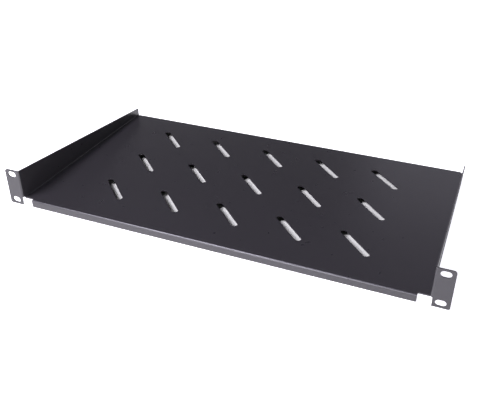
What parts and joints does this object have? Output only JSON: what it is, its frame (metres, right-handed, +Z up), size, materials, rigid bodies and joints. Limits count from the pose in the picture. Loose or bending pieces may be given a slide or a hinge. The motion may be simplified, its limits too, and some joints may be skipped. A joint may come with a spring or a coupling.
{
  "type": "cantilever rack shelf",
  "caption": "Folded sheet steel shelf, one rack unit high, with a slotted deck, tapering side walls and bolt-on ears.",
  "frame": {"origin": "middle of the four ear holes, on the back faces of the ears that seat on the rack's rails", "axes": "+X across the rack to the right, +Y into the rack, +Z up"},
  "size_m": [0.4826, 0.252, 0.0426],
  "materials": {
    "powder_coat": "black powder coat, fine texture, satin"
  },
  "bodies": {
    "root": {"rack_shelf": "powder_coat"}
  },
  "joints": []
}
